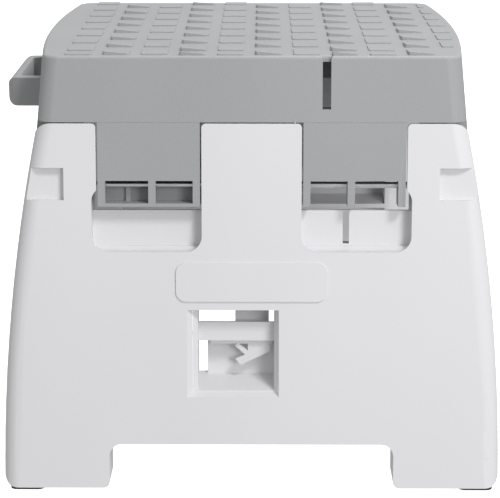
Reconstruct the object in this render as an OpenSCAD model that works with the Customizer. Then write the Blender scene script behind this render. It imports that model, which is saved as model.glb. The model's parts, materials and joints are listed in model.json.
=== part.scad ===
// Folding step stool: a one-piece tread platform on two leg panels that fold inward on steel rods.
// X runs along the long edge of the tread, Y from front to back, Z up, floor at Z = 0.

/* [Overall] */
// Height of the tread above the floor
stool_h = 280; // [240:1:340]
// Depth of the platform at the tread edge
top_d = 260; // [220:1:312]
// Length of the platform at its corners
top_w = 260; // [220:1:312]
// How far each end bows out past its corners
end_bow = 8.5; // [4:0.5:14]
// Width over the two feet
foot_w = 321; // [290:1:380]
// Outward lean of each leg panel, in degrees
leg_lean = 5.5; // [3:0.5:8]

/* [Platform] */
// Thickness of the deck
deck_t = 4; // [3:0.5:6]
// Thickness of the platform skirt
skirt_t = 3; // [2:0.25:4]
// Height of the front and back skirt
skirt_h = 41; // [34:1:50]
// Height of the deeper end skirts
end_skirt_h = 60; // [48:1:62]
// Length of the deeper part of each end skirt
end_skirt_len = 196; // [150:2:200]
// Outward flare of the end skirts, in degrees
end_flare = 6; // [2:0.5:8]
// Height of the ribs under the deck
rib_h = 18; // [8:1:24]
// Thickness of the ribs
rib_t = 2.4; // [1.6:0.2:4]
// Rounding of the platform's upright corners
corner_r = 12; // [6:1:16]
// Width of the vertical slot in the front skirt
slot_w = 5.4; // [3:0.2:8]
// Distance of that slot from the middle
slot_x = 47; // [42:1:60]

/* [Handle] */
// How far the grip stands out from the end skirt
grip_out = 22; // [18:1:30]
// Length of the grip
grip_len = 96; // [70:1:120]
// Height of the grip
grip_h = 19; // [14:1:24]
// Thickness of the grip bar
grip_t = 8; // [6:0.5:11]

/* [Hinges] */
// Inner edge of each hinge tab, from the middle
tab_in = 32.5; // [26:0.5:44]
// Width of each hinge tab
tab_w = 64.5; // [50:0.5:76]
// Width of the ribs that carry the rod
arm_t = 4.6; // [3:0.2:6]
// Depth of the hinge tab in front of and behind the rod
tab_half = 8; // [6:0.5:9]
// Tab length below the rod
tab_tail = 13; // [11:0.5:14]
// Height of the front hinge rods
front_hinge_z = 198; // [190:1:204]
// Height of the rear hinge rods
rear_hinge_z = 167.5; // [150:0.5:172]
// Radius of the steel rods
rod_r = 2; // [1.5:0.1:3]
// Radial running clearance on the rods
run_gap = 0.06; // [0.02:0.01:0.1]
// Side gap between a tab and its notch
side_gap = 1; // [0.75:0.25:3]

/* [Leg panels] */
// Depth of the leg shells
leg_d = 28; // [22:1:29]
// Thickness of the leg walls
leg_t = 3.2; // [2.4:0.2:4]
// Narrowing of a leg side from the foot to the top
side_in = 25; // [15:1:30]
// Rounding of the long side edges
side_r = 11; // [4:0.5:14]
// Height of the arch between the feet
arch_h = 32; // [20:1:45]
// Height of the rear arch
rear_arch_h = 41; // [20:1:45]
// Half width of the arch
arch_half = 91.5; // [60:0.5:105]
// Depth of the scooped recess below each tab
scoop_d = 10; // [9:0.5:14]
// Height of the bottom of that recess
scoop_z = 157; // [140:1:165]
// Gap between the leg top and the skirt
top_gap = 0.8; // [0.5:0.1:2]

/* [Window] */
// Left edge of the window
win_x0 = -34.3; // [-42:0.1:-30]
// Right edge of the window
win_x1 = 14.5; // [10:0.1:26]
// Bottom edge of the window
win_z0 = 66.7; // [55:0.1:72]
// Top edge of the window
win_z1 = 119.4; // [112:0.1:122]
// Width of the blank raised plate
plate_w = 96; // [60:1:120]
// Height of the blank raised plate
plate_h = 25; // [12:1:27]

/* [Latch] */
// Radius of the latch pin
pin_r = 1.5; // [1:0.1:2]
// Depth of the latch pin behind the leg face
pin_y = 19; // [18.5:0.5:20]
// Height of the latch pin, along the leg
pin_s = 101.5; // [100:0.5:104]
// Depth of the bar across the window
bar_y = 12; // [9:0.5:12]
// Height of the bar across the window
bar_h = 12.2; // [8:0.1:14]
// Rise of the window floor towards its back wall
floor_rise = 7.7; // [0:0.1:10]
// Width of the slit beside the back wall
slit_w = 5.6; // [4:0.1:10]

/* [Feet] */
// Thickness of the rubber under each foot
rubber_t = 3; // [2:0.5:5]
// Width of each rubber foot
rubber_w = 22; // [16:1:26]
// Distance of each rubber foot in from the outer edge
rubber_in = 4; // [3:0.5:10]

/* [Hidden] */
$fn = 72;
e = 0.01;
tl = tan(leg_lean);
cl = cos(leg_lean);
half_w = foot_w / 2;
half_d = top_d / 2;
skirt_z = stool_h - skirt_h;
end_z = stool_h - end_skirt_h;
// Radius of the bowed ends and of the curved leg sides
bow_r = (half_d * half_d + end_bow * end_bow) / (2 * end_bow);
mid_w = top_w / 2 + end_bow;
side_s = skirt_z / cl;
side_R = (side_s * side_s + side_in * side_in) / (2 * side_in);
// Distance of the rod behind the leg face
rod_y = tab_half + 0.5;
tab_out = tab_in + tab_w;
mid_arm = tab_in + tab_w * 0.47;
cheek_in = tab_in - side_gap;
cheek_out = tab_out + side_gap + leg_t;
rod_x0 = cheek_in - leg_t - 2.4;
rod_x1 = cheek_out + leg_t + 2.4;
// The grip reaches past the feet, so the whole part moves over to keep the origin central
grip_z = skirt_z + 4;
grip_reach = mid_w + (stool_h - grip_z) * tan(end_flare) + grip_out;
origin_x = (grip_reach - half_w) / 2;
pin_x0 = win_x0 - leg_t - 1;
pin_x1 = win_x1 + leg_t + 1;
grey = [0.55, 0.555, 0.56];
white = [0.88, 0.88, 0.89];

// Y of the front face at height z
function face_y(z) = -(half_d + (stool_h - z) * tl);
// Distance along the leaning leg for a height on its face
function s_of(z) = z / cl;
// Y and Z of a point d behind the face at distance s up the leg
function leg_y(s, d) = face_y(0) + s * sin(leg_lean) + d * cl;
function leg_z(s, d) = s * cl - d * sin(leg_lean);
// Distance up the leg of a rod whose centre is at height z
function rod_s(z) = (z + rod_y * sin(leg_lean)) / cl;

// Places a shape drawn in the front leg's own frame
module on_leg() translate([0, face_y(0), 0]) rotate([-leg_lean, 0, 0]) children();
// Turns a front shape to the rear
module to_rear() mirror([0, 1, 0]) children();
// Extrudes an X-Z outline from depth y0 to y1
module slab(y0, y1) translate([0, y1, 0]) rotate([90, 0, 0]) linear_extrude(y1 - y0) children();
// A block from one corner to the other
module block(a, b) translate(a) cube(b - a);
// A round bar along X
module bar_x(x0, x1, r) translate([x0, 0, 0]) rotate([0, 90, 0]) cylinder(h = x1 - x0, r = r);
// A rectangle with round corners
module round_rect(x0, z0, x1, z1, r) {
  translate([x0 + r, z0]) square([x1 - x0 - 2 * r, z1 - z0]);
  translate([x0, z0 + r]) square([x1 - x0, z1 - z0 - 2 * r]);
  for (x = [x0 + r, x1 - r], z = [z0 + r, z1 - r]) translate([x, z]) circle(r = r);
}

// Rounds one upright corner, which leans with both of its faces
module corner_cut(t) {
  r = corner_r - t;
  skew = half_d / bow_r;
  translate([top_w / 2 - corner_r / tan(45 + asin(skew) / 2), -half_d + corner_r, stool_h])
    rotate([-leg_lean, -end_flare, 0]) translate([0, 0, -stool_h]) linear_extrude(stool_h + 10)
      difference() {
        translate([0, -corner_r - 20]) square([corner_r + 20, corner_r + 20 - skew * r]);
        circle(r = r);
      }
}

// Solid envelope of the platform, drawn in by t on every side
module envelope(t, z0, z1) {
  difference() {
    envelope_faces(t, z0, z1);
    for (m = [0, 1], n = [0, 1]) mirror([m, 0, 0]) mirror([0, n, 0]) corner_cut(t);
  }
}

module envelope_faces(t, z0, z1) {
  intersection() {
    translate([-(bow_r - mid_w), 0, z0])
      cylinder(h = z1 - z0, r1 = bow_r - t + (stool_h - z0) * tan(end_flare),
               r2 = bow_r - t + (stool_h - z1) * tan(end_flare), $fn = 360);
    translate([bow_r - mid_w, 0, z0])
      cylinder(h = z1 - z0, r1 = bow_r - t + (stool_h - z0) * tan(end_flare),
               r2 = bow_r - t + (stool_h - z1) * tan(end_flare), $fn = 360);
    rotate([90, 0, 90]) linear_extrude(500, center = true)
      polygon([[face_y(z0) + t, z0], [-face_y(z0) - t, z0], [-face_y(z1) - t, z1], [face_y(z1) + t, z1]]);
  }
}

// One hinge tab in the front leg's frame, on the +X side, for a rod at s = rs
module tab(rs, boxed) {
  x0 = tab_in;
  x1 = tab_out;
  top_s = s_of(skirt_z + 8);
  difference() {
    union() {
      block([x0, 0, rs + 3.4], [x1, skirt_t, top_s]);
      for (x = [x0, mid_arm - arm_t / 2, x1 - arm_t])
        block([x, 0, rs - tab_tail], [x + arm_t, rod_y + tab_half, top_s]);
      block([x0, rod_y + tab_half - skirt_t, rs + 9], [x1, rod_y + tab_half, top_s]);
      if (boxed) {
        block([x0, rod_y + tab_half - 2.4, rs - tab_tail], [x1, rod_y + tab_half, rs + 10]);
        block([x0, 0, rs - tab_tail], [x1, rod_y + tab_half, rs - tab_tail + 2]);
        block([x1 - 20, rod_y + 3.2, rs - tab_tail], [x1 - 17, rod_y + tab_half, rs + 10]);
      }
    }
    translate([0, rod_y, rs]) bar_x(x0 - 1, x1 + 1, rod_r + run_gap);
  }
}

// A wall that stops the leg top from moving inward, between x0 and x1
module stop_wall(x0, x1, s0) {
  y0 = leg_t + 0.35;
  block([x0, y0, s0], [x1, y0 + 3, s_of(skirt_z + 8)]);
}

module handle_loop() {
  x1 = -grip_reach;
  zc = grip_z;
  intersection() {
    difference() {
      translate([x1, 0, zc - grip_h / 2]) linear_extrude(grip_h)
        round_rect(0, -grip_len / 2, grip_out + 12, grip_len / 2, 9);
      translate([x1 + grip_t, 0, zc - grip_h]) linear_extrude(2 * grip_h)
        round_rect(0, -grip_len / 2 + 9, grip_out + 30, grip_len / 2 - 9, 5);
    }
    rotate([90, 0, 0]) linear_extrude(2 * grip_len, center = true)
      round_rect(x1, zc - grip_h / 2, x1 + 60, zc + grip_h / 2, 6);
    difference() {
      cube([1000, 1000, 1000], center = true);
      envelope(skirt_t / 2, end_z - 1, stool_h + 1);
    }
  }
}

module step_platform() color(grey) translate([origin_x, 0, 0]) {
  difference() {
    union() {
      difference() {
        envelope(0, end_z, stool_h);
        envelope(skirt_t, end_z - 1, stool_h - deck_t);
        // The front and back skirts and the corners stop higher than the end skirts
        for (s = [-1, 1]) translate([0, s * (end_skirt_len / 2 + 100), (skirt_z + end_z) / 2 - 5])
          cube([500, 200, skirt_z - end_z + 10], center = true);
      }
      // Ribs under the deck
      intersection() {
        envelope(skirt_t / 2, stool_h - deck_t - rib_h, stool_h - deck_t / 2);
        union() {
          for (x = [-96, -64, -32, 0, 32, 64, 96])
            translate([x - rib_t / 2, -half_d, stool_h - deck_t - rib_h]) cube([rib_t, top_d, rib_h + deck_t / 2]);
          for (y = [-78, -39, 0, 39, 78])
            translate([-mid_w, y - rib_t / 2, stool_h - deck_t - rib_h]) cube([2 * mid_w, rib_t, rib_h + deck_t / 2]);
        }
      }
      // Webs that close the corners behind the leg tops
      intersection() {
        envelope(skirt_t / 2, end_z, stool_h - deck_t / 2);
        for (m = [0, 1], n = [0, 1]) mirror([m, 0, 0]) mirror([0, n, 0])
          block([tab_out + 15, end_skirt_len / 2 - skirt_t, end_z], [mid_w + 20, end_skirt_len / 2 - e, stool_h]);
      }
      handle_loop();
    }
    // Vertical slot in the front skirt
    translate([slot_x - slot_w / 2, face_y(skirt_z) - 1, skirt_z + 8]) cube([slot_w, skirt_t + 6, skirt_h]);
    // Finger hole behind the grip
    translate([-mid_w - 12, -grip_len / 2 + 14, grip_z - 6.5]) cube([20, grip_len - 28, 13]);
  }
  intersection() {
    union() {
      on_leg() {
        mirror([1, 0, 0]) tab(rod_s(front_hinge_z), true);
        tab(rod_s(front_hinge_z), false);
        stop_wall(-cheek_in + leg_t + 1, cheek_in - leg_t - 1, rod_s(front_hinge_z) + 16);
        for (m = [0, 1]) mirror([m, 0, 0]) stop_wall(cheek_out + leg_t + 1, tab_out + 22, rod_s(front_hinge_z) + 16);
      }
      to_rear() on_leg() {
        mirror([1, 0, 0]) tab(rod_s(rear_hinge_z), true);
        tab(rod_s(rear_hinge_z), true);
        stop_wall(-cheek_in + leg_t + 1, cheek_in - leg_t - 1, rod_s(rear_hinge_z) + 46);
        for (m = [0, 1]) mirror([m, 0, 0]) stop_wall(cheek_out + leg_t + 1, tab_out + 22, rod_s(rear_hinge_z) + 46);
      }
      // Webs that tie the tabs and stops to the skirts
      for (m = [0, 1]) mirror([0, m, 0])
        translate([-tab_out - 22, face_y(skirt_z) + 1.5, skirt_z + 2]) cube([2 * tab_out + 44, 17, 4]);
    }
    envelope(0.2, 100, stool_h - 1);
  }
}

// Leg outline in X and height along the leg, drawn in by t
module leg_outline(t, arch = 0) {
  difference() {
    intersection() {
      translate([-(side_R - half_w), 0]) circle(r = side_R - t, $fn = 720);
      translate([side_R - half_w, 0]) circle(r = side_R - t, $fn = 720);
      translate([-half_w - 10, -10]) square([2 * half_w + 20, s_of(skirt_z - top_gap) + 10 + (t > 0 ? 20 : 0)]);
    }
    arch_outline(t, arch);
  }
}

module arch_outline(t, arch) {
  a = arch_half + t;
  h = arch / cl + t;
  translate([-a, -20]) square([2 * a, 20 + h - 8]);
  translate([-a + 8, -20]) square([2 * a - 16, 20 + h]);
  for (x = [-a + 8, a - 8]) translate([x, h - 8]) circle(r = 8);
}

// A shallow dish below a tab, with round walls on its sides and floor
module scoop(rs) {
  z0 = s_of(scoop_z);
  intersection() {
    slab(-1, scoop_d) round_rect(cheek_in, z0, cheek_out, rs, 10);
    translate([0, 0, z0 - 1]) linear_extrude(rs - z0) {
      translate([cheek_in, -2]) square([cheek_out - cheek_in, scoop_d + 2 - 8]);
      translate([cheek_in, -10]) round_rect(0, 0, cheek_out - cheek_in, scoop_d + 10, 8);
    }
    translate([cheek_in - 1, 0, 0]) rotate([90, 0, 90]) linear_extrude(cheek_out - cheek_in + 2)
      round_rect(-10, z0, scoop_d, rs + 20, 8);
  }
}

// The two top corners beside a notch
module notch_corner(x, side, top_s) {
  translate([x, top_s]) mirror([side < 0 ? 1 : 0, 0]) difference() {
    translate([-0.1, -2.8]) square([2.9, 3.8]);
    translate([2.8, -2.8]) circle(r = 2.8);
  }
}

// Cuts a long outer edge to a round, or the edge of the hollow t inside it
module side_edge(t) {
  for (m = [0, 1]) mirror([m, 0, 0])
    translate([-(side_R - half_w), t, 0]) rotate([-90, 0, 0]) rotate_extrude($fn = 720)
      difference() {
        translate([side_R - side_r, -1]) square([side_r + 2, side_r + 1 - t]);
        translate([side_R - side_r, side_r - t]) circle(r = side_r - t);
      }
}

// The hollow inside a leg shell
module hollow(arch) {
  difference() {
    slab(leg_t, leg_d + 1) leg_outline(leg_t, arch);
    side_edge(leg_t);
  }
}

// The corner at the top of the leg
module top_corner(top_s) {
  r = 13;
  w = half_w - side_R + sqrt(side_R * side_R - (top_s - r) * (top_s - r)) + 0.5;
  difference() {
    translate([w - r, top_s - r]) square([r + 12, r + 8]);
    translate([w - r, top_s - r]) circle(r = r);
  }
}

// A leg shell for a rod at s = rs. The front one has the window, the raised plate and the scoops.
module leg_shell(rs, front) {
  top_s = s_of(skirt_z - top_gap);
  sweep_r = top_s - rs - 0.4;
  notch_s = rs - tab_tail - 3.5;
  arch = front ? arch_h : rear_arch_h;
  arch_s = arch / cl;
  difference() {
    intersection() {
      union() {
        difference() {
          slab(0, leg_d) leg_outline(0, arch);
          hollow(arch);
          block([-200, leg_t, rs + 10], [200, leg_d + 1, top_s + 10]);
        }
        // Side returns above the hinge, kept inside the swing of the rod
        intersection() {
          difference() {
            slab(0, leg_d) leg_outline(0, arch);
            hollow(arch);
          }
          translate([0, rod_y, rs]) bar_x(-half_w, half_w, sweep_r);
        }
        // Cheeks that hold the rods, and the walls they stand on
        for (m = [0, 1]) mirror([m, 0, 0]) intersection() {
          union() {
            block([cheek_in - leg_t, 0, arch_s + 1], [cheek_in, leg_d, rs + 60]);
            block([cheek_out, 0, arch_s + 1], [cheek_out + leg_t, leg_d, rs + 60]);
          }
          union() {
            block([0, -1, 0], [200, leg_d + 1, rs - 1]);
            translate([0, rod_y, rs]) bar_x(0, 200, min(sweep_r, rod_y + 12));
          }
        }
        // Cross wall above the arch
        block([-cheek_out, 0, notch_s - 26], [cheek_out, leg_d, notch_s - 26 + leg_t]);
        if (front) {
          for (m = [0, 1]) mirror([m, 0, 0]) {
            block([cheek_in - 1, 0, s_of(scoop_z) - leg_t], [cheek_out + 1, scoop_d + leg_t, s_of(scoop_z)]);
            block([cheek_in - 1, scoop_d, s_of(scoop_z) - leg_t], [cheek_out + 1, scoop_d + leg_t, rs - 10.5]);
            intersection() {
              slab(0, 8) leg_outline(0.5);
              block([114, 0, rs - 12], [200, 8, rs + 14.5]);
            }
          }
          slab(-1, 1) round_rect(-plate_w / 2, 125.9, plate_w / 2, 125.9 + plate_h, 6.5);
          slab(0, leg_d) translate([win_x0 - leg_t, win_z0 - leg_t])
            square([win_x1 - win_x0 + 2 * leg_t, win_z1 - win_z0 + 2 * leg_t]);
        }
      }
      slab(-2, leg_d + 1) difference() {
        translate([-200, -20]) square([400, top_s + 20]);
        for (m = [0, 1]) mirror([m, 0]) {
          top_corner(top_s);
          notch_corner(cheek_in, -1, top_s);
          notch_corner(tab_out + side_gap, 1, top_s);
        }
      }
    }
    side_edge(0);
    for (m = [0, 1]) mirror([m, 0, 0]) {
      // Notch for the tab, open at the top
      block([cheek_in, -1, notch_s], [tab_out + side_gap, leg_t + 1, top_s + 5]);
      block([cheek_in, leg_t - e, notch_s], [cheek_out, leg_d + 1, top_s + 5]);
      translate([0, rod_y, rs]) bar_x(rod_x0 - 5, rod_x1 + 5, rod_r);
      if (front) {
        scoop(rs);
        block([118.5, -1, rs - 9], [200, 4.5, rs + 11.5]);
      }
    }
    if (front) {
      slab(-2, leg_d + 1) translate([win_x0, win_z0]) square([win_x1 - win_x0, win_z1 - win_z0]);
      hull() {
        slab(-1.1, -1) translate([win_x0 - 8, win_z0 - 4]) square([win_x1 - win_x0 + 11.5, win_z1 - win_z0 + 5]);
        slab(6, 6.1) translate([win_x0, win_z0]) square([win_x1 - win_x0, win_z1 - win_z0]);
      }
      translate([0, pin_y, pin_s]) bar_x(pin_x0 - 2, pin_x1 + 2, pin_r);
      // Slit between the window's left side and its back wall
      block([win_x0, leg_d - 6, win_z0], [win_x0 + slit_w, leg_d + 1, pin_s - 6]);
      block([58, scoop_d - 1, s_of(scoop_z) + 4], [62, scoop_d + leg_t + 1, rs - 17]);
    }
  }
  if (front) window_fittings();
}

// Bar across the window, its back wall beside the slit, a block above the bar, and the sloping floor
module window_fittings() {
  x0 = win_x0 - 1;
  x1 = win_x1 + 1;
  block([x0, bar_y, pin_s - 3.5], [x1, bar_y + 3, pin_s - 3.5 + bar_h]);
  block([win_x0 + slit_w, leg_d - 3, win_z0 - 1], [x1, leg_d, pin_s - 6]);
  block([-10.7, leg_d - 4, pin_s + 3], [11.2, leg_d, win_z1 + 1]);
  translate([x0, 0, 0]) rotate([90, 0, 90]) linear_extrude(x1 - x0)
    polygon([[5, win_z0 - 1], [leg_d, win_z0 - 1], [leg_d, win_z0 + floor_rise], [5, win_z0]]);
}

module foot_floor() {
  for (m = [0, 1]) mirror([m, 0, 0]) intersection() {
    on_leg() difference() {
      slab(1, leg_d - 0.5) leg_outline(1, arch_h);
      side_edge(0.8);
    }
    translate([0, -400, rubber_t]) cube([400, 400, leg_t]);
  }
}

function rubber_x() = half_w - rubber_in - rubber_w / 2;
function rubber_y() = face_y(0) + leg_d / 2 + 0.5;

module leg_panel(hz, front) {
  difference() {
    intersection() {
      union() {
        on_leg() leg_shell(rod_s(hz), front);
        foot_floor();
      }
      translate([-300, -400, rubber_t]) cube([600, 400, stool_h]);
    }
    for (s = [-1, 1]) translate([s * rubber_x(), rubber_y(), 0]) cylinder(h = 20, r = 3);
  }
}

module front_leg() color(white) translate([origin_x, 0, 0]) leg_panel(front_hinge_z, true);
module rear_leg() color(white) translate([origin_x, 0, 0]) to_rear() leg_panel(rear_hinge_z, false);

module rod(side, hz) color("silver") translate([origin_x, 0, 0]) mirror([side < 0 ? 1 : 0, 0, 0])
  on_leg() translate([0, rod_y, rod_s(hz)]) bar_x(rod_x0, rod_x1, rod_r);

module front_rod_left() rod(-1, front_hinge_z);
module front_rod_right() rod(1, front_hinge_z);
module rear_rod_left() to_rear() rod(-1, rear_hinge_z);
module rear_rod_right() to_rear() rod(1, rear_hinge_z);

// Push-on caps on the rod ends, outside the cheeks
module caps(hz) color("gray") translate([origin_x, 0, 0])
  for (m = [0, 1]) mirror([m, 0, 0]) on_leg() translate([0, rod_y, rod_s(hz)]) difference() {
    union() {
      bar_x(rod_x0 + 0.6, cheek_in - leg_t, 4.4);
      bar_x(cheek_out + leg_t, rod_x1 - 0.6, 4.4);
    }
    bar_x(rod_x0 - 1, rod_x1 + 1, rod_r);
  }
module front_rod_caps() caps(front_hinge_z);
module rear_rod_caps() to_rear() caps(rear_hinge_z);

// Rubber foot with a stem pressed into the leg floor
module rubber_foot(sx) color([0.05, 0.05, 0.05]) translate([origin_x + sx * rubber_x(), rubber_y(), 0]) {
  linear_extrude(rubber_t) round_rect(-rubber_w / 2, -10, rubber_w / 2, 10, 4);
  cylinder(h = rubber_t + leg_t + 2, r = 3);
}
module foot_front_left() rubber_foot(-1);
module foot_front_right() rubber_foot(1);
module foot_rear_left() to_rear() rubber_foot(-1);
module foot_rear_right() to_rear() rubber_foot(1);

latch_x0 = win_x0 + 8;
latch_x1 = win_x1 - 1.2;
spring_x0 = latch_x0 + 5;
spring_x1 = spring_x0 + 9;

// Latch: a barrel on the pin behind the bar, with a hooked arm that hangs below the bar
module storage_latch() color(white) translate([origin_x, 0, 0]) on_leg()
  translate([0, pin_y, pin_s]) difference() {
    union() {
      bar_x(latch_x0, spring_x0 - 0.4, 3.3);
      bar_x(spring_x1 + 0.4, latch_x1, 3.3);
      block([latch_x0, -3.2, -6.4], [latch_x1, -0.2, -3.7]);
      block([latch_x0, -3.2, -4], [spring_x0 - 0.4, -0.2, -1]);
      block([spring_x1 + 0.4, -3.2, -4], [latch_x1, -0.2, -1]);
      slab(-3.2, -0.2) polygon([[-2.4, -6], [12, -6], [12, -11.4], [-6.9, -20.4], [-10.7, -16.5],
                                [-4.2, -13.6], [-10.7, -7.8], [-9.4, -6], [-8.6, -6], [-2.4, -11]]);
    }
    bar_x(latch_x0 - 1, latch_x1 + 1, pin_r + run_gap);
  }

module latch_pin() color("silver") translate([origin_x, 0, 0]) on_leg()
  translate([0, pin_y, pin_s]) bar_x(pin_x0, pin_x1, pin_r);

// Torsion spring coil around the pin
module latch_spring() color("silver") translate([origin_x, 0, 0]) on_leg()
  translate([0, pin_y, pin_s]) {
    translate([spring_x0 + 7.8, -2.3, 0]) cylinder(h = 6, r = 0.55, $fn = 24);
    translate([spring_x0 + 7.8, bar_y + 3 - pin_y, 5.45]) rotate([-90, 0, 0])
      cylinder(h = pin_y - bar_y - 3 - 1.75, r = 0.55, $fn = 24);
    for (i = [0 : 7]) translate([spring_x0 + 0.8 + i, 0, 0]) rotate([0, 90, 0])
      rotate_extrude() translate([2.3, 0]) circle(r = 0.55, $fn = 24);
  }

step_platform();
front_leg();
rear_leg();
front_rod_left();
front_rod_right();
rear_rod_left();
rear_rod_right();
front_rod_caps();
rear_rod_caps();
foot_front_left();
foot_front_right();
foot_rear_left();
foot_rear_right();
storage_latch();
latch_pin();
latch_spring();
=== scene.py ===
import json
import math

import bmesh
import bpy
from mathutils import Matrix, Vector

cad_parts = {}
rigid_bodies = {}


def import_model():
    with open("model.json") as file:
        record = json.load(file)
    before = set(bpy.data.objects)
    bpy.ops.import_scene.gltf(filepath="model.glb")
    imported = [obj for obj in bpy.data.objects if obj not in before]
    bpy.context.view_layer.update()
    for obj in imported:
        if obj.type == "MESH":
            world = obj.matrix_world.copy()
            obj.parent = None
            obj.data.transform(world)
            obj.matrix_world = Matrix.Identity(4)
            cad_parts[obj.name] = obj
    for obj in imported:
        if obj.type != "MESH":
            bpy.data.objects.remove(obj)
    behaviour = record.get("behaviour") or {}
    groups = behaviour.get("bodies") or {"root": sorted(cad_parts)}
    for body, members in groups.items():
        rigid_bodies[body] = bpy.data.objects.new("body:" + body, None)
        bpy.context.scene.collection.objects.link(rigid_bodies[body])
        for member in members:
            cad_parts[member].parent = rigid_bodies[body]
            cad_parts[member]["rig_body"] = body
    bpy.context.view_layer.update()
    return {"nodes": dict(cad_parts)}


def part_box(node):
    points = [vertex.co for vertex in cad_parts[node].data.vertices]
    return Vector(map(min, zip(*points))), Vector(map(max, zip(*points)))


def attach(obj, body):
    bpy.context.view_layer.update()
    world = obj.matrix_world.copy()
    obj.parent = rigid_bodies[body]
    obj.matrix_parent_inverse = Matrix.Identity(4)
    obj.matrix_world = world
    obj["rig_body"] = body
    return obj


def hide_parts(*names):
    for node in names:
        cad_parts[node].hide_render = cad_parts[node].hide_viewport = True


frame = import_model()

mm = 0.001

# ---------------------------------------------------------------- camera
# A long lens in front of the stool and above it, looking down at the tread and the windowed leg.
left_foot, right_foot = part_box("foot_front_left"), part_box("foot_front_right")
middle_x = (left_foot[0].x + right_foot[1].x) / 2
lens = bpy.data.cameras.new("view_camera")
lens.sensor_width = 36.0
lens.lens = 133.2
lens.clip_start, lens.clip_end = 0.05, 50.0
camera = bpy.data.objects.new("view_camera", lens)
pitch_down, turn_left = 0.26043, 0.00668
camera.location = (middle_x + 6.6 * mm, -1273.1 * mm, 460.6 * mm)
camera.rotation_euler = (math.pi / 2 - pitch_down, 0.0, turn_left)
bpy.context.scene.collection.objects.link(camera)
bpy.context.scene.camera = camera

# ---------------------------------------------------------------- studio
# A white floor and sky that the lens sees but that throw no light on the stool, and soft
# boxes that are stronger from the right and above, so that the left end falls into shade.
scene = bpy.context.scene
scene.view_settings.view_transform = "Standard"
world = bpy.data.worlds.new("studio")
world.use_nodes = True
world.node_tree.nodes["Background"].inputs["Color"].default_value = (1.0, 1.0, 1.0, 1.0)
world.node_tree.nodes["Background"].inputs["Strength"].default_value = 0.5
scene.world = world

floor_paint = bpy.data.materials.new("floor_paint")
floor_paint.use_nodes = True
floor_shader = floor_paint.node_tree.nodes["Principled BSDF"]
floor_shader.inputs["Base Color"].default_value = (0.8, 0.8, 0.8, 1.0)
floor_shader.inputs["Roughness"].default_value = 0.9
floor_shader.inputs["Specular IOR Level"].default_value = 0.1
floor_shader.inputs["Emission Color"].default_value = (1.0, 1.0, 1.0, 1.0)
floor_shader.inputs["Emission Strength"].default_value = 0.95


def new_object(name, bm, material):
    """Turns a bmesh into an object with one material, and frees the bmesh."""
    mesh = bpy.data.meshes.new(name)
    bm.to_mesh(mesh)
    bm.free()
    mesh.materials.append(material)
    made = bpy.data.objects.new(name, mesh)
    scene.collection.objects.link(made)
    return made


floor_half_size, sky_radius = 12.0, 20.0
floor_shape, sky_shape = bmesh.new(), bmesh.new()
bmesh.ops.create_grid(floor_shape, x_segments=1, y_segments=1, size=floor_half_size)
bmesh.ops.create_icosphere(sky_shape, subdivisions=4, radius=sky_radius)
floor = new_object("floor", floor_shape, floor_paint)
sky = new_object("sky", sky_shape, floor_paint)
sky.visible_shadow = False
for backdrop in (floor, sky):
    backdrop.visible_diffuse = False
    backdrop.visible_glossy = False


def soft_box(name, place, aim, size, power):
    lamp = bpy.data.lights.new(name, "AREA")
    lamp.shape = "DISK"
    lamp.size = size
    lamp.energy = power
    holder = bpy.data.objects.new(name, lamp)
    holder.location = place
    holder.rotation_euler = (Vector(aim) - Vector(place)).to_track_quat("-Z", "Y").to_euler()
    scene.collection.objects.link(holder)


soft_box("key_right", (0.9, -1.3, 1.8), (0.0, 0.0, 0.15), 0.5, 21.0)
soft_box("front_fill", (1.0, -1.9, 0.6), (0.0, 0.0, 0.15), 0.8, 12.0)
soft_box("top_fill", (0.3, 0.6, 1.7), (0.0, 0.0, 0.2), 0.6, 13.0)


# ---------------------------------------------------------------- platform
# The tread platform is one grey injection moulding: deck, skirt, hinge tabs and grip.
# Its plastic is a matt polypropylene with a fine spark-eroded grain and faint flow marks.
class Value:
    """A shader number. Arithmetic on it adds Math nodes."""

    def __init__(self, finish, socket):
        self.finish, self.socket = finish, socket

    def _math(self, operation, first, second):
        made = self.finish.node("ShaderNodeMath", {"operation": operation}, {0: first, 1: second})
        return Value(self.finish, made.outputs[0])

    def __add__(self, other):
        return self._math("ADD", self, other)

    __radd__ = __add__

    def __mul__(self, other):
        return self._math("MULTIPLY", self, other)

    __rmul__ = __mul__


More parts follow.
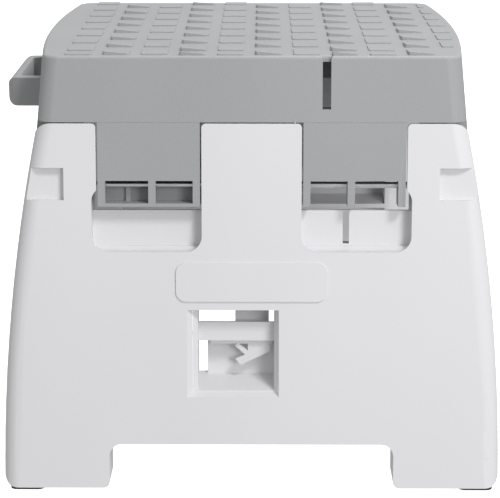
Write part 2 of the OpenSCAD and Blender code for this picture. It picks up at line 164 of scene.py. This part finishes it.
class Finish:
    """One material on a Principled shader, with object-space patterns."""

    def __init__(self, name, roughness, metallic=0.0, gloss=0.5):
        self.material = bpy.data.materials.new(name)
        self.material.use_nodes = True
        self.tree = self.material.node_tree
        self.shader = self.tree.nodes["Principled BSDF"]
        self.shader.inputs["Roughness"].default_value = roughness
        self.shader.inputs["Metallic"].default_value = metallic
        self.shader.inputs["Specular IOR Level"].default_value = gloss
        self.place = self.node("ShaderNodeTexCoord").outputs["Object"]

    def node(self, kind, settings=None, inputs=None):
        made = self.tree.nodes.new(kind)
        for key, value in (settings or {}).items():
            if key == "stops":
                ramp = made.color_ramp
                ramp.elements[0].position, ramp.elements[0].color = value[0]
                ramp.elements[-1].position, ramp.elements[-1].color = value[-1]
                for at, colour in value[1:-1]:
                    ramp.elements.new(at).color = colour
            else:
                setattr(made, key, value)
        for key, value in (inputs or {}).items():
            if isinstance(value, Value):
                value = value.socket
            if isinstance(value, bpy.types.NodeSocket):
                self.tree.links.new(value, made.inputs[key])
            else:
                made.inputs[key].default_value = value
        return made

    def noise(self, scale, detail=3.0, stretch=(1.0, 1.0, 1.0)):
        place = self.node("ShaderNodeMapping", None, {"Vector": self.place, "Scale": stretch})
        made = self.node("ShaderNodeTexNoise", None, {"Vector": place.outputs[0], "Scale": scale, "Detail": detail})
        return Value(self, made.outputs["Fac"])

    def colour(self, mask, dark, light):
        made = self.node("ShaderNodeValToRGB", {"stops": [(0.25, (*dark, 1.0)), (0.75, (*light, 1.0))]}, {"Fac": mask})
        self.tree.links.new(made.outputs["Color"], self.shader.inputs["Base Color"])

    def rough(self, value):
        self.tree.links.new(value.socket, self.shader.inputs["Roughness"])

    def bump(self, height, depth, strength=1.0):
        made = self.node("ShaderNodeBump", None, {"Height": height, "Distance": depth, "Strength": strength})
        self.tree.links.new(made.outputs["Normal"], self.shader.inputs["Normal"])


grey_moulding = Finish("grey_moulding", 0.5, gloss=0.35)
flow = grey_moulding.noise(9.0, 2.0, (1.0, 1.0, 0.4))
grain = grey_moulding.noise(900.0, 2.0)
grey_moulding.colour(flow * 0.6 + grain * 0.4, (0.335, 0.34, 0.345), (0.385, 0.39, 0.395))
grey_moulding.rough(0.46 + grain * 0.14)
grey_moulding.bump(grain, 0.00012, 0.5)


def soft_edged(node, name, finish, radius, steps=2, sharp=32.0, rolled=None, roll=0.0, carve=None):
    """A merged copy of a CAD node with its hard edges rolled over, as a mould leaves them.

    Edges that `rolled` picks out get the larger radius `roll` first. `carve` cuts the merged copy.
    """
    bm = bmesh.new()
    bm.from_mesh(frame["nodes"][node].data)
    bmesh.ops.remove_doubles(bm, verts=bm.verts, dist=2e-6)
    if carve:
        bm = carve(bm)
    bmesh.ops.dissolve_limit(bm, angle_limit=math.radians(0.6), verts=bm.verts, edges=bm.edges)
    if rolled:
        wide = [e for e in bm.edges if len(e.link_faces) == 2 and e.calc_face_angle(0.0) > math.radians(sharp)
                and rolled(e)]
        bmesh.ops.bevel(bm, geom=wide, offset=roll, offset_type="OFFSET", segments=4, profile=0.5,
                        affect="EDGES", material=-1, clamp_overlap=True, loop_slide=True)
    edges = [e for e in bm.edges if len(e.link_faces) == 2 and e.calc_face_angle(0.0) > math.radians(sharp)]
    bmesh.ops.bevel(bm, geom=edges, offset=radius, offset_type="OFFSET", segments=steps, profile=0.5,
                    affect="EDGES", material=-1, clamp_overlap=True, loop_slide=True)
    for face in bm.faces:
        face.smooth = True
    mesh = bpy.data.meshes.new(name)
    bm.to_mesh(mesh)
    bm.free()
    mesh.set_sharp_from_angle(angle=math.radians(40))
    mesh.materials.clear()
    mesh.materials.append(finish.material)
    piece = bpy.data.objects.new(name, mesh)
    scene.collection.objects.link(piece)
    flats = piece.modifiers.new("flats", "WEIGHTED_NORMAL")
    flats.keep_sharp = True
    flats.weight = 100
    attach(piece, frame["nodes"][node]["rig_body"])
    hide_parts(node)
    return piece


def deck_rim(edge):
    """Whether an edge lies in the deck's top face."""
    return min(v.co.z for v in edge.verts) > 279.5 * mm


soft_edged("step_platform", "platform_shell", grey_moulding, 0.6 * mm,
           rolled=deck_rim, roll=2.6 * mm)

# ---------------------------------------------------------------- tread studs
# Low pads moulded into the deck in staggered columns. Every other pair stands up at its
# front left corner and fades into the deck at the right; the rest are flat with a thin step.
deck_z = 280 * mm
pad_w, pad_d, column, row = 16.4 * mm, 21.0 * mm, 23.9 * mm, 31.9 * mm
first_column_x, first_row_y = 2.4 * mm, -124.4 * mm
front_limit, back_limit = -125.5 * mm, 127.0 * mm
bow, half_depth, deck_half_length, rolled_rim = 8.5 * mm, 130 * mm, 138.5 * mm, 5 * mm
bow_radius = (half_depth**2 + bow**2) / (2 * bow)
pad_block = 1.2 * mm  # height of each pad's block before its top is set, half of it inside the deck
flat_top, ramp_left, ramp_right, ramp_back = 0.8 * mm, 2.4 * mm, 0.9 * mm, 0.4 * mm


def deck_reach(y):
    """Half length of the deck at a given depth, short of its rolled rim."""
    return math.sqrt(bow_radius**2 - y * y) - bow_radius + deck_half_length - rolled_rim


bm = bmesh.new()
for index in range(-5, 6):
    left = first_column_x + index * column
    half_step = index % 4 in (2, 3)
    ramped = index % 2 == 0
    for j in range(-1, 9):
        start = first_row_y + j * row + (0.5 * row if half_step else 0.0)
        front, back = max(start, front_limit), min(start + pad_d, back_limit)
        if back - front < 3 * mm:
            continue
        reach = min(deck_reach(front), deck_reach(back))
        x0, x1 = max(left, -reach), min(left + pad_w, reach)
        if x1 - x0 < 4 * mm:
            continue
        made = bmesh.ops.create_cube(bm, size=1.0)["verts"]
        bmesh.ops.scale(bm, verts=made, vec=(x1 - x0, back - front, pad_block))
        bmesh.ops.translate(bm, verts=made, vec=(middle_x + (x0 + x1) / 2, (front + back) / 2, deck_z))
        for v in (v for v in made if v.co.z > deck_z):
            at_front, at_left = v.co.y < (front + back) / 2, v.co.x < middle_x + (x0 + x1) / 2
            if ramped:
                v.co.z = deck_z + (ramp_left if at_front and at_left else ramp_right if at_front else ramp_back)
            else:
                v.co.z = deck_z + flat_top
upright = [e for e in bm.edges if abs(e.verts[0].co.z - e.verts[1].co.z) > 1.0 * mm and
           (e.verts[0].co.xy - e.verts[1].co.xy).length < 1e-6]
bmesh.ops.bevel(bm, geom=upright, offset=1.2 * mm, offset_type="OFFSET", segments=3, profile=0.5,
                affect="EDGES", material=-1)
rims = [e for e in bm.edges if min(v.co.z for v in e.verts) > deck_z + 0.1 * mm and e.calc_face_angle(0.0) > 0.9]
bmesh.ops.bevel(bm, geom=rims, offset=0.22 * mm, offset_type="OFFSET", segments=2, profile=0.5,
                affect="EDGES", material=-1)
bmesh.ops.recalc_face_normals(bm, faces=bm.faces)
studs = new_object("tread_studs", bm, grey_moulding.material)
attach(studs, "platform")

# ---------------------------------------------------------------- leg panels
# Two white shells moulded in the same matt plastic, open at the back, with walls inside
# that hold the rods. The front one has the window, the blank raised plate and the dishes.
white_moulding = Finish("white_moulding", 0.45, gloss=0.4)
flow = white_moulding.noise(7.0, 2.0, (1.0, 1.0, 0.5))
grain = white_moulding.noise(1100.0, 2.0)
white_moulding.colour(flow * 0.7 + grain * 0.3, (0.7, 0.7, 0.715), (0.76, 0.76, 0.775))
white_moulding.rough(0.42 + grain * 0.12)
white_moulding.bump(grain, 0.00008, 0.4)



def corner_bar(bm, edge_x, edge_z, side, radius, reach=300 * mm):
    """A bar along Y whose section fills the outside of a rounded corner at edge_x, edge_z."""
    centre_x, centre_z = edge_x - side * (radius + 0.02 * mm), edge_z + radius + 0.02 * mm
    section = [(centre_x + side * radius * math.sin(a), centre_z - radius * math.cos(a))
               for a in (math.radians(9 * step) for step in range(11))]
    far = side * 2 * radius
    section += [(centre_x + far, centre_z), (centre_x + far, centre_z - 2 * radius), (centre_x, centre_z - 2 * radius)]
    near = [bm.verts.new((x, -reach, z)) for x, z in section]
    away = [bm.verts.new((x, reach, z)) for x, z in section]
    bm.faces.new(near)
    bm.faces.new(away[::-1])
    for k in range(len(section)):
        m = (k + 1) % len(section)
        bm.faces.new((near[m], near[k], away[k], away[m]))


def round_feet(bm):
    """Rounds the outer and inner bottom corners of a leg's two feet."""
    low_z = min(v.co.z for v in bm.verts)
    spans = [abs(v.co.x - middle_x) for v in bm.verts if v.co.z < low_z + 3 * mm]
    inner, outer = min(spans), max(spans)
    cutter = bmesh.new()
    for hand in (-1, 1):
        corner_bar(cutter, middle_x + hand * outer, low_z, hand, 8 * mm)
        corner_bar(cutter, middle_x + hand * inner, low_z, -hand, 4 * mm)
    bmesh.ops.recalc_face_normals(cutter, faces=cutter.faces)
    holders = []
    for shape in (bm, cutter):
        mesh = bpy.data.meshes.new("carving")
        shape.to_mesh(mesh)
        shape.free()
        holder = bpy.data.objects.new("carving", mesh)
        scene.collection.objects.link(holder)
        holders.append(holder)
    cut = holders[0].modifiers.new("cut", "BOOLEAN")
    cut.operation, cut.solver, cut.object = "DIFFERENCE", "EXACT", holders[1]
    carved = bmesh.new()
    carved.from_object(holders[0], bpy.context.evaluated_depsgraph_get())
    for holder in holders:
        bpy.data.meshes.remove(holder.data)
    bmesh.ops.remove_doubles(carved, verts=carved.verts, dist=2e-6)
    return carved


for side in ("front", "rear"):
    soft_edged(f"{side}_leg", f"{side}_leg_shell", white_moulding, 0.8 * mm, carve=round_feet)

# ---------------------------------------------------------------- hinge rods, caps and pin
# Bright drawn steel rods that run through the tabs and the leg walls, with fine drawing lines
# along their length. Zinc-plated washers pushed on their ends hold them in.
drawn_steel = Finish("drawn_steel", 0.25, metallic=1.0)
lines = drawn_steel.noise(1500.0, 2.0, (0.03, 1.0, 1.0))
drawn_steel.colour(lines, (0.6, 0.6, 0.61), (0.82, 0.82, 0.83))
drawn_steel.rough(0.2 + lines * 0.15)
drawn_steel.bump(lines, 0.00003, 0.3)
zinc = Finish("zinc_plate", 0.4, metallic=1.0)
bloom = zinc.noise(300.0, 3.0)
zinc.colour(bloom, (0.48, 0.49, 0.5), (0.66, 0.66, 0.68))
zinc.rough(0.32 + bloom * 0.2)
for side in ("front", "rear"):
    for hand in ("left", "right"):
        soft_edged(f"{side}_rod_{hand}", f"{side}_hinge_rod_{hand}", drawn_steel, 0.3 * mm)
    soft_edged(f"{side}_rod_caps", f"{side}_push_caps", zinc, 0.3 * mm)
soft_edged("latch_pin", "latch_hinge_pin", drawn_steel, 0.25 * mm)

# ---------------------------------------------------------------- latch
# A white hooked arm on a barrel, which turns on the pin behind the window's bar. A short
# torsion coil in the barrel's gap rests on the bar and holds the arm down.
latch_moulding = Finish("latch_moulding", 0.45, gloss=0.4)
grain = latch_moulding.noise(700.0, 2.0)
latch_moulding.colour(grain, (0.68, 0.68, 0.695), (0.74, 0.74, 0.755))
latch_moulding.rough(0.4 + grain * 0.12)
latch_moulding.bump(grain, 0.0001, 0.4)
soft_edged("storage_latch", "window_latch", latch_moulding, 0.3 * mm)
spring_wire = Finish("spring_wire", 0.3, metallic=1.0)
lines = spring_wire.noise(1800.0, 2.0)
spring_wire.colour(lines, (0.35, 0.35, 0.37), (0.5, 0.5, 0.52))
frame["nodes"]["latch_spring"].data.materials.clear()
frame["nodes"]["latch_spring"].data.materials.append(spring_wire.material)

# ---------------------------------------------------------------- rubber feet
# Black moulded rubber pads, one under each foot, so that the stool grips a smooth floor.
# Each is held by a stem pressed into the foot's floor.
rubber = Finish("black_rubber", 0.7, gloss=0.3)
dust = rubber.noise(160.0, 4.0)
rubber.colour(dust, (0.012, 0.012, 0.012), (0.03, 0.03, 0.03))
rubber.rough(0.6 + dust * 0.25)
rubber.bump(dust, 0.0002, 0.5)
for side in ("front", "rear"):
    for hand in ("left", "right"):
        soft_edged(f"foot_{side}_{hand}", f"rubber_foot_{side}_{hand}", rubber, 0.6 * mm)
